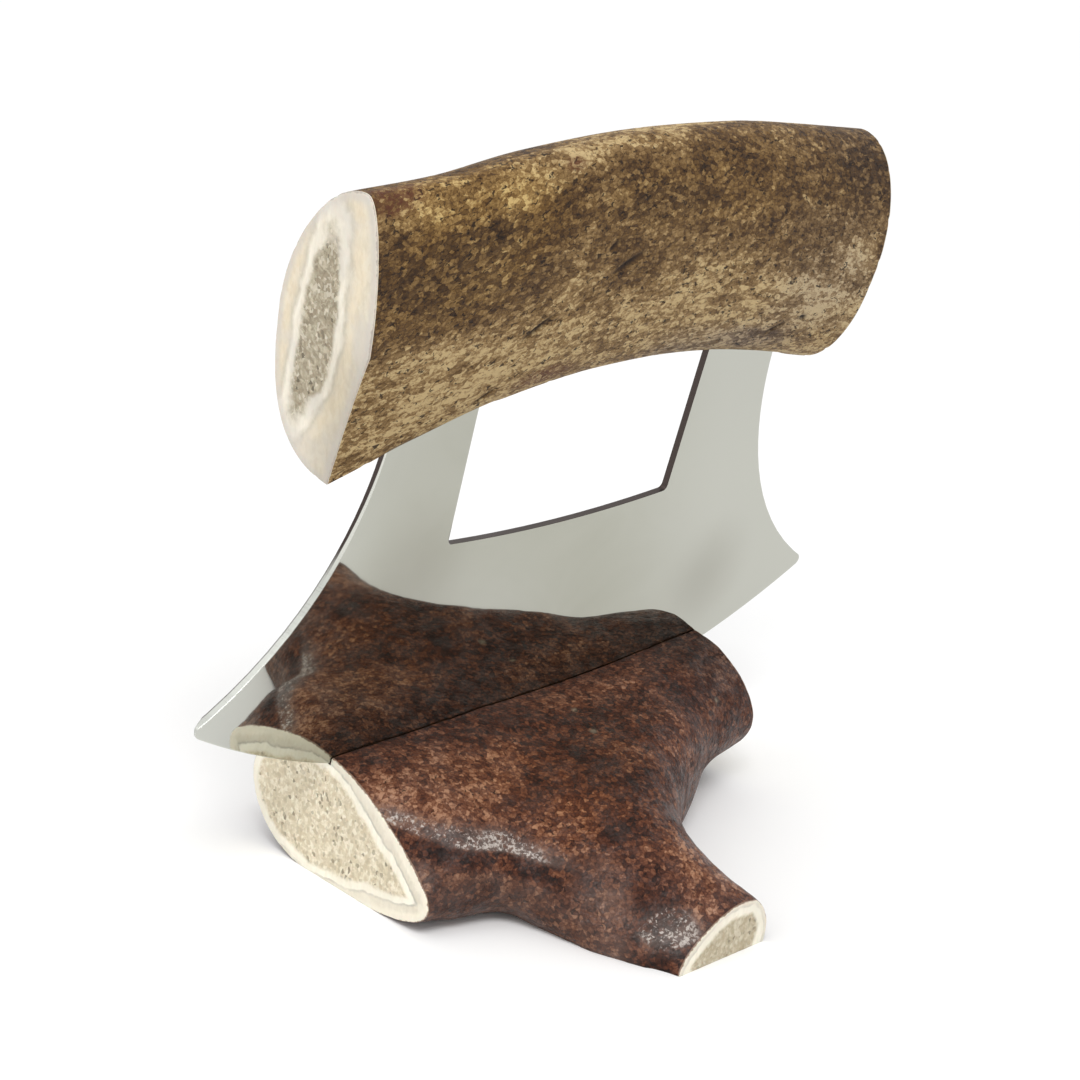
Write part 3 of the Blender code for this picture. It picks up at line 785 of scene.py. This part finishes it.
def make_handle(bark, cut):
    angles = np.arange(HANDLE_SIDES) * 2 * math.pi / HANDLE_SIDES
    margin = WORN_EDGE / HANDLE_LENGTH
    places = np.linspace(margin, 1 - margin, HANDLE_ROWS)
    grid, local = (np.array(rows) for rows in zip(*(handle_row(place, angles) for place in places)))
    centres = [handle_station(place)[0] for place in places]
    steps = [np.linalg.norm(step) for step in np.diff(centres, axis=0)]
    run = np.repeat(np.concatenate(([0], np.cumsum(steps)))[:, None], HANDLE_SIDES, axis=1)
    grain = np.stack((run, local[..., 0], local[..., 1]), axis=2) / MM

    step_along = np.gradient(grid, axis=0)
    step_round = np.roll(grid, -1, axis=1) - np.roll(grid, 1, axis=1)
    normals = np.cross(step_round, step_along)
    normals /= np.linalg.norm(normals, axis=2, keepdims=True)
    if np.sum(normals * (grid - grid.mean(axis=1, keepdims=True))) < 0:
        normals = -normals

    flat_grain = grain.reshape(-1, 3)
    lumps = ripple(flat_grain, (17, 9, 9), 1)
    grooves = ripple(flat_grain, (15, 1.7, 1.7), 2)
    pits = np.clip(ripple(flat_grain, (2.6, 1.2, 1.2), 3) - 0.25, 0, None)
    depth = 0.22 * (0.5 + 0.5 * lumps) + 0.075 * (0.5 + 0.5 * grooves) + 0.28 * pits
    facing = np.where(flat_grain[:, 1] < 0, 1.0, 0.0)
    wound, sunk = gouged(flat_grain[:, 0], flat_grain[:, 2], GOUGES_MM)
    depth = depth + sunk * facing
    # The underside keeps the CAD's form round the mortises
    flat_grid = grid.reshape(-1, 3)
    tang = WAIST_HALF_WIDTH / 2 + WINDOW_INNER / 2
    half = WAIST_HALF_WIDTH / 2 - WINDOW_INNER / 2 + POCKET_MARGIN
    near_x = np.abs(np.abs(flat_grid[:, 0]) - tang) - half
    near_y = np.abs(flat_grid[:, 1]) - POCKET_MARGIN - BLADE_THICKNESS / 2
    clear = eased(np.maximum(near_x, near_y), 0.0, 2.5 * MM)
    clear = np.where(flat_grain[:, 2] < 0, clear, 1.0)
    crest = flat_grid[:, 2].max()
    proud = 0.22 - 0.14 * eased(flat_grid[:, 2], crest - 2 * MM, crest)
    depth = (depth - proud) * clear
    carved = flat_grid - normals.reshape(-1, 3) * depth[:, None] * MM
    grid = carved.reshape(grid.shape)

    total = HANDLE_ROWS * HANDLE_SIDES
    side = np.arange(total).reshape(HANDLE_ROWS, HANDLE_SIDES)
    quads, fans = [strip(first, second) for first, second in zip(side[:-1], side[1:])], []
    rims, cores = [np.full(total, FAR_MM)], [np.full(total, -FAR_MM)]
    points, grains = [carved], [flat_grain]
    for end, out_sign in ((0, -1), (-1, 1)):
        centre, up, tall = handle_station(places[end])[:3]
        out = np.array((up[2], 0, -up[0])) * out_sign
        outline = grid[end]
        low_y, high_y = outline[:, 1].min(), outline[:, 1].max()
        middle_y, wide = (high_y + low_y) / 2, (high_y - low_y) / 2
        hub = np.array((centre[0], middle_y, centre[2]))
        rings, last = cap_rings(outline, hub, out)
        tree = finder(outline)
        previous = side[end]
        for number, ring in enumerate(rings):
            rims.append(np.array([tree.find(point)[2] for point in ring]) / MM)
            height = (ring - hub) @ up
            share = height / tall
            core_y = middle_y + (0.12 - 0.10 * share + 0.8 * np.clip(-share - 0.38, 0, None)) * wide
            oval = np.hypot((ring[:, 1] - core_y) / (CORE_WIDTH * wide), share / CORE_HEIGHT)
            core = (1 - oval) * CORE_MM
            if number >= WORN_STEPS:
                pitted = eased(core, -0.3, 0.8) * (0.10 + 0.10 * ripple(ring / MM, 0.9, 5)) + 0.01
                ring = ring - out * pitted[:, None] * MM
            index = np.arange(total, total + HANDLE_SIDES)
            total += HANDLE_SIDES
            quads.append(strip(previous, index) if out_sign > 0 else strip(index, previous))
            points.append(ring)
            cores.append(core)
            grains.append(np.stack((ring[:, 0] - hub[0], ring[:, 1] - hub[1], height), axis=1) / MM)
            previous = index
        points.append([last - out * 0.1 * MM])
        rims.append([wide / MM])
        cores.append([2.0])
        grains.append([(0, 0, 0)])
        hubs = np.full(HANDLE_SIDES, total)
        pair = (previous, hubs) if out_sign > 0 else (hubs, previous)
        fans.append(np.stack((*pair, np.roll(previous, -1)), axis=1))
        total += 1

    world = (np.array(KNIFE.to_3x3()) @ np.concatenate(points).T).T + np.array(KNIFE.translation)
    faces = np.concatenate(quads).tolist() + np.concatenate(fans).tolist()
    handle = mesh_object("handle_antler", world.tolist(), faces, [bark, cut])
    mesh = handle.data
    kinds = np.ones(len(faces), int)
    kinds[:(HANDLE_ROWS - 1) * HANDLE_SIDES] = 0
    mesh.polygons.foreach_set("material_index", kinds)
    store(mesh, "rim_mm", np.concatenate(rims))
    store(mesh, "core_mm", np.concatenate(cores))
    grain = np.concatenate(grains)
    store(mesh, "grain_mm", grain)
    run, back, height = grain.T
    drift = ripple(grain, (22, 8, 8), 11)
    store(mesh, "lower_side", eased(5 * drift - height, -5.0, 10.0) * np.where(back < 3, 1.0, 0.8))
    # The back, which the photo hides, has the front's marks mirrored
    seen = np.where(back < 1.0, 1.0, 0.0)
    for name, zones in (("pale", PALE_ZONES_MM), ("violet", VIOLET_ZONES_MM)):
        behind = zone(110 - run, height, zones, drift)
        store(mesh, name, np.where(seen > 0, zone(run, height, zones, drift), behind))
    cool = zone(run, height, COOL_ZONES_MM, drift)
    store(mesh, "warmth", zone(run, height, WARM_ZONES_MM, drift) - cool)
    store(mesh, "russet", zone(run, height, RUSSET_ZONES_MM, drift) * seen)
    wounds = np.zeros(len(height))
    wounds[:len(wound)] = wound * facing
    store(mesh, "wound", wounds)
    store(mesh, "shade", eased(-height, -6.0, 8.0) * eased(-back, -2.0, 5.0))
    face_outward(mesh)
    mesh.shade_smooth()
    carve(handle, [pocket(side) for side in (-1, 1)])
    return handle


def pocket(side):
    """The mortise round one tang, as in the CAD."""
    low_x, high_x = sorted((side * (WINDOW_INNER - POCKET_MARGIN), side * (WAIST_HALF_WIDTH + POCKET_MARGIN)))
    depth = BLADE_THICKNESS / 2 + POCKET_MARGIN
    top = underside_height(side * (WINDOW_INNER + WAIST_HALF_WIDTH) / 2) + TANG_DEPTH + POCKET_MARGIN
    bottom = min(underside_height(low_x), underside_height(high_x)) - 8 * MM
    shape = bmesh.new()
    bmesh.ops.create_cube(shape, size=1.0)
    low, high = Vector((low_x, -depth, bottom)), Vector((high_x, depth, top))
    shape.transform(KNIFE @ Matrix.Translation((low + high) / 2) @ Matrix.Diagonal((*(high - low), 1.0)))
    mortise = mesh_object("mortise", [], [])
    shape.to_mesh(mortise.data)
    shape.free()
    return mortise


# Stand

def beam_ring(place, angles):
    crest, underside, nose, front, back, upper, lower = smooth_row(BEAM_SHARES, place)
    across, along = np.cos(angles), np.sin(angles)
    behind = across > 0
    reach = np.where(behind, BEAM_BACK * back, BEAM_FRONT * front)
    nose_height = BEAM_CREST * np.where(behind, BACK_NOSE_SHARE, nose)
    roundness = np.where(behind, BACK_ROUNDNESS_SHARE, np.where(along > 0, upper, lower))
    edge_height = BEAM_CREST * np.where(along > 0, crest, underside)
    x = np.full(len(angles), (BEAM_LEFT + BEAM_RIGHT) * place - BEAM_LEFT)
    z = nose_height + np.abs(bent(along, roundness)) * (edge_height - nose_height)
    return np.stack((x, reach * bent(across, roundness), z), axis=1)


def tine_ring(place, angles):
    left, right, middle, crest, nose, left_fullness, right_fullness = smooth_row(TINE_SHARES, place)
    across, along = np.cos(angles), np.sin(angles)
    side = np.where(across > 0, right, left)
    roundness = np.where(across > 0, right_fullness, left_fullness)
    roundness = np.where(along < 0, TINE_UNDER_SHARE, roundness)
    edge_height = TINE_HEIGHT * np.where(along > 0, crest, -TINE_SINK_SHARE)
    nose_height = TINE_HEIGHT * nose
    x = TINE_WIDTH * (middle + (side - middle) * np.abs(bent(across, roundness)))
    z = nose_height + np.abs(bent(along, roundness)) * (edge_height - nose_height)
    return np.stack((x, np.full(len(angles), -TINE_REACH * place), z), axis=1)


def ring_loft(points, faces, rings):
    start = len(points)
    count = len(rings[0])
    for ring in rings:
        points.extend(ring.tolist())
    for row in range(len(rings) - 1):
        for i in range(count):
            j = (i + 1) % count
            low = start + row * count
            faces.append((low + i, low + j, low + count + j, low + count + i))
    faces.append(tuple(range(start, start + count))[::-1])
    faces.append(tuple(range(len(points) - count, len(points))))


def slice_off(shape, place, out):
    geometry = shape.verts[:] + shape.edges[:] + shape.faces[:]
    bmesh.ops.bisect_plane(shape, geom=geometry, dist=1e-6, plane_co=place, plane_no=out, clear_outer=True)


def open_edges(shape):
    return [edge for edge in shape.edges if len(edge.link_faces) == 1]


def ordered_loop(shape):
    """The open boundary of a bmesh as one ordered ring of vertices."""
    links = {}
    for edge in open_edges(shape):
        for vertex in edge.verts:
            links.setdefault(vertex, []).append(edge.other_vert(vertex))
    start = next(iter(links))
    loop = [start]
    previous, current = None, start
    while True:
        options = [vertex for vertex in links[current] if vertex is not previous]
        previous, current = current, options[0]
        if current is start:
            return loop
        loop.append(current)


def saw(shape, point, out, widths):
    """Saw the stand across, wear the cut's edge round, and tell where it lies."""
    slice_off(shape, Vector(point) - Vector(out) * WORN_EDGE, out)
    previous = ordered_loop(shape)
    outline = np.array([vertex.co for vertex in previous])
    hub = (outline.max(axis=0) + outline.min(axis=0)) / 2
    out = np.array(out, float)
    rings, last = cap_rings(outline, hub, out)
    for number, ring in enumerate(rings):
        if number >= WORN_STEPS:
            ring = ring - out * (0.04 + 0.04 * ripple(ring / MM, 1.1, 8))[:, None] * MM
        fresh = [shape.verts.new(place) for place in ring]
        for i in range(len(fresh)):
            j = (i + 1) % len(fresh)
            shape.faces.new((previous[i], previous[j], fresh[j], fresh[i])).material_index = 1
        previous = fresh
    centre = shape.verts.new(last - out * 0.04 * MM)
    for first, second in zip(previous, previous[1:] + previous[:1]):
        shape.faces.new((first, second, centre)).material_index = 1
    return np.array(point), out, outline, hub, widths


def make_stand(bark, cut, slot):
    angles = np.arange(STAND_SIDES) * 2 * math.pi / STAND_SIDES
    points, faces = [], []
    for ring_at, table, count in ((beam_ring, BEAM_SHARES, BEAM_RINGS), (tine_ring, TINE_SHARES, TINE_RINGS)):
        places = np.linspace(table[0][0], table[-1][0], count)
        ring_loft(points, faces, [ring_at(place, angles) for place in places])
    stand = mesh_object("stand_antler", points, faces, [bark, cut, slot])
    face_outward(stand.data)
    modify(stand, "skin", "REMESH", mode="VOXEL", voxel_size=STAND_GRAIN)
    modify(stand, "ease", "SMOOTH", iterations=SKIN_SMOOTHING)
    modify(stand, "fine", "SUBSURF", levels=SKIN_LEVELS)
    mesh = baked(stand)

    places = vectors(mesh.vertices, "co")
    normals = vectors(mesh.vertex_normals, "vector")
    in_mm = places / MM
    lumps = ripple(in_mm, (9, 7, 7), 21)
    ridges = ripple(in_mm, (6, 2.2, 2.2), 22)
    pearls = np.clip(ripple(in_mm, 1.8, 23) - 0.1, 0, None)
    depth = 0.30 * (0.5 + 0.5 * lumps) + 0.16 * (0.5 + 0.5 * ridges) + 0.22 * pearls + 0.02
    depth = depth - 0.26 * eased(-in_mm[:, 1], 0.0, 8.0)
    places = places - normals * depth[:, None] * MM
    mesh.vertices.foreach_set("co", places.astype(np.float32).ravel())

    shape = bmesh.new()
    shape.from_mesh(mesh)
    cuts = [saw(shape, *sawn) for sawn in STAND_CUTS]
    slice_off(shape, (0, 0, 0), (0, 0, -1))
    for face in bmesh.ops.edgeloop_fill(shape, edges=open_edges(shape))["faces"]:
        face.material_index = 1
    bmesh.ops.recalc_face_normals(shape, faces=shape.faces)
    shape.to_mesh(mesh)
    shape.free()
    mesh.shade_smooth()
    carve(stand, [slot_plate()])

    mesh = stand.data
    places = vectors(mesh.vertices, "co")
    rims = np.full(len(places), FAR_MM)
    cores = np.full(len(places), -FAR_MM)
    for point, out, outline, hub, (front_rim, back_rim) in cuts:
        tree = finder(outline)
        for i in np.where((places - point) @ out > -WORN_EDGE * 1.02)[0]:
            spot, _, distance = tree.find(places[i])
            away = (spot - Vector(hub)).normalized()
            share = 0.5 + 0.5 * (-away.y if abs(out[0]) > 0 else away.x)
            rims[i] = distance / MM
            cores[i] = distance / MM - (back_rim + (front_rim - back_rim) * share)
    underside = places[:, 2] < 1e-5
    cores[underside & (rims == FAR_MM)] = 3.0
    store(mesh, "rim_mm", rims)
    store(mesh, "core_mm", cores)
    store(mesh, "dull", np.where(places[:, 1] < WORN_EDGE - TINE_REACH, 1.0, 0.0))
    in_mm = places / MM
    x, y, z = in_mm.T
    drift = ripple(in_mm, 9, 31)
    # Painted shade on the front of the right arm, the stand's shaded side
    end = eased(x + 5 * drift, 26.0, 40.0) * eased(y, -22.0, -10.0)
    ridge_x, ridge_y, ridge_z = np.array(RIDGE_MM).T
    above = z - np.interp(x, ridge_x, ridge_z) + 0.5 * drift
    ahead = np.interp(x, ridge_x, ridge_y) - y
    along = eased(-x, 18.0, 27.0) * eased(ahead, -8.0, -4.0)
    # Painted shade on the face falling away just below the ridge
    store(mesh, "shade_below_ridge", eased(-above, -0.2, 0.5) * (1 - eased(-above, 1.6, 4.2)) * along)
    under = eased(-above, 2.5, 5.0) * along
    shaded = zone(x, y, STAND_DARK_MM, drift)
    # Painted shade on the right arm and under the ridge, with the darker spots of STAND_DARK_MM
    store(mesh, "shade_and_dark_spots", np.maximum(np.maximum(end, 0.4 * under), shaded))
    # Painted highlight: a band of glints and grey sheen just above the ridge, spots of it on the tine, and a
    # little on the face under the ridge
    glints = eased(above, -0.7, 0.1) * (1 - eased(above, 1.2, 3.6)) * along
    glints = glints * (1 - 0.25 * eased(np.abs(x + 32.5), 5.0, 11.0))
    for at_x, at_y, at_z, reach_x, reach_y, reach_z, strength in GLINT_SPOTS_MM:
        spread = np.hypot((x - at_x) / reach_x, (y - at_y) / reach_y) + np.abs(z - at_z) / reach_z
        glints = np.maximum(glints, strength * (1 - eased(spread + 0.3 * drift, 0.3, 1.2)))
    store(mesh, "glint_zone", np.maximum(glints, 0.35 * under))
    store(mesh, "light_zone", np.maximum(0.6 * under, zone(x, y, STAND_PALE_MM, drift)))
    middle = np.exp(-((x + 8) / 22) ** 2 - ((y + 25) / 17) ** 2)
    store(mesh, "orange", np.clip(middle + 0.3 * drift, 0, 1))
    specks = np.zeros(len(places))
    for *spot, reach in SPECKS_MM:
        spread = np.linalg.norm(in_mm - spot, axis=1) / reach
        specks = np.maximum(specks, 0.8 * (1 - eased(spread, 0.4, 1.2)))
    store(mesh, "speck", specks)
    return stand


def slot_plate():
    """The saw's own shape: the cutting edge's arc closed by its chord, as thick as the blade and its play."""
    half_angle = math.asin(BLADE_SPAN / 2 / EDGE_RADIUS)
    centre = TIP_LEVEL + math.sqrt(EDGE_RADIUS ** 2 - (BLADE_SPAN / 2) ** 2)
    half = BLADE_THICKNESS / 2 + SLOT_SHADOW
    radius = EDGE_RADIUS + SLOT_PLAY
    outline = []
    for i in range(SLOT_STEPS + 1):
        angle = -math.pi / 2 + half_angle * (2 * i / SLOT_STEPS - 1)
        outline.append((radius * math.cos(angle), centre + radius * math.sin(angle)))
    count = len(outline)
    points = [tuple(KNIFE @ Vector((x, y, z))) for y in (-half, half) for x, z in outline]
    faces = [tuple(range(count)), tuple(range(2 * count - 1, count - 1, -1))]
    faces += [(i, i + count, (i + 1) % count + count, (i + 1) % count) for i in range(count)]
    plate = mesh_object("slot_saw", points, faces)
    face_outward(plate.data)
    plate.data.polygons.foreach_set("material_index", [2] * len(faces))
    return plate


# Blade and glue stay CAD nodes

def paint(node, material):
    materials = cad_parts[node].data.materials
    materials.clear()
    materials.append(material)


def finish_blade(steel):
    paint("blade", steel)
    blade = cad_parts["blade"]
    modify(blade, "weld", "WELD", merge_threshold=0.005 * MM)
    rounding = {"width": ROLLED_EDGE, "segments": 2, "angle_limit": math.radians(35)}
    modify(blade, "rolled_edges", "BEVEL", limit_method="ANGLE", **rounding)
    modify(blade, "crisp_lines", "EDGE_SPLIT", split_angle=math.radians(10), use_edge_sharp=False)
    modify(blade, "flat_faces", "WEIGHTED_NORMAL", keep_sharp=True)


# Room

def make_floor():
    r = Recipe("pale_table")
    grain = r.noise(r.place(), 30.0, 2.0, 0.5)
    seen = r.seen()
    colour = r.mix(seen, r.mix(grain, (0.885, 0.885, 0.88), (0.905, 0.905, 0.90)), (1, 1, 1))
    backdrop = r.sum("MULTIPLY", seen, r.span(r.measure("LENGTH", r.place()), FADE_START, FADE_END))
    r.set(Base_Color=r.mix(backdrop, colour, (0, 0, 0)), Roughness=0.9, Specular_IOR_Level=0.1)
    r.set(Emission_Color=(1, 1, 1), Emission_Strength=backdrop)
    corners = [(-1, -1), (1, -1), (1, 1), (-1, 1)]
    points = [(FLOOR_HALF * x, FLOOR_HALF * y, FLOOR_LEVEL) for x, y in corners]
    floor = mesh_object("table_top", points, [(0, 1, 2, 3)], [r.owner])


def make_world():
    r = Recipe("studio", bpy.data.worlds, "Background")
    bpy.context.scene.world = r.owner
    r.set(Color=(1, 1, 1), Strength=r.add("ShaderNodeMix", {0: r.seen(), 2: 0.70, 3: 1.0}, 0))


def lamp(name, kind, towards, energy, distance=1.2, **settings):
    """A lamp that shines from the given direction onto the object."""
    thing = linked(name, tuned(bpy.data.lights.new(name, kind), settings))
    thing.data.energy = energy
    direction = Vector(towards).normalized()
    thing.location = Vector((0, 0, 0.06)) + direction * distance
    thing.rotation_euler = direction.to_track_quat("Z", "Y").to_euler()


def make_camera():
    data = bpy.data.cameras.new("camera")
    data.lens = 100.0
    data.sensor_width = 36.0
    data.clip_start = 0.01
    data.clip_end = 50.0
    camera = linked("camera", data)
    camera.matrix_world = Matrix((
        (0.6824636, 0.1769278, -0.7091826, -0.3628111),
        (-0.7173265, 0.3483776, -0.6033869, -0.3099023),
        (0.1403074, 0.9205051, 0.3646700, 0.2392739),
        (0, 0, 0, 1),
    ))
    bpy.context.scene.camera = camera


make_camera()
make_world()
make_floor()
lamp("window", "SUN", (-0.62, 0.10, 0.80), 0.6, angle=math.radians(50))
lamp("softbox", "AREA", (-0.40, -0.42, 0.80), 6.0, shape="RECTANGLE", size=0.55, size_y=0.40)

handle = make_handle(
    handle_bark(),
    cut_face(
        "antler_cut_natural",
        [(-4.6, tone(222, 212, 192)), (-3.4, tone(231, 218, 192)), (-2.4, tone(228, 215, 190)),
         (-1.7, tone(208, 199, 180)), (-1.0, tone(243, 236, 220)), (0.0, tone(232, 224, 206))],
        tone(196, 186, 163), tone(152, 140, 118), tone(170, 162, 152), tone(204, 198, 190),
    ),
)
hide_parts("handle")
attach(handle, "ulu")

stand = make_stand(
    stand_bark(),
    cut_face(
        "antler_cut_stand",
        [(-4.6, tone(248, 240, 220)), (-3.5, tone(248, 240, 220)), (-2.9, tone(230, 222, 204)),
         (-2.1, tone(224, 216, 198)), (-1.7, tone(190, 184, 172)), (-1.4, tone(253, 248, 232)),
         (0.0, tone(250, 243, 224))],
        tone(236, 226, 202), tone(206, 192, 164), tone(110, 78, 58), tone(236, 229, 212),
    ),
    slot_wall(),
)
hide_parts("stand")
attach(stand, "stand")

finish_blade(mirror_steel())
glue = cured_epoxy()
paint("tang_epoxy_left", glue)
paint("tang_epoxy_right", glue)

bpy.context.scene.view_settings.view_transform = "Standard"

bpy.context.view_layer.update()
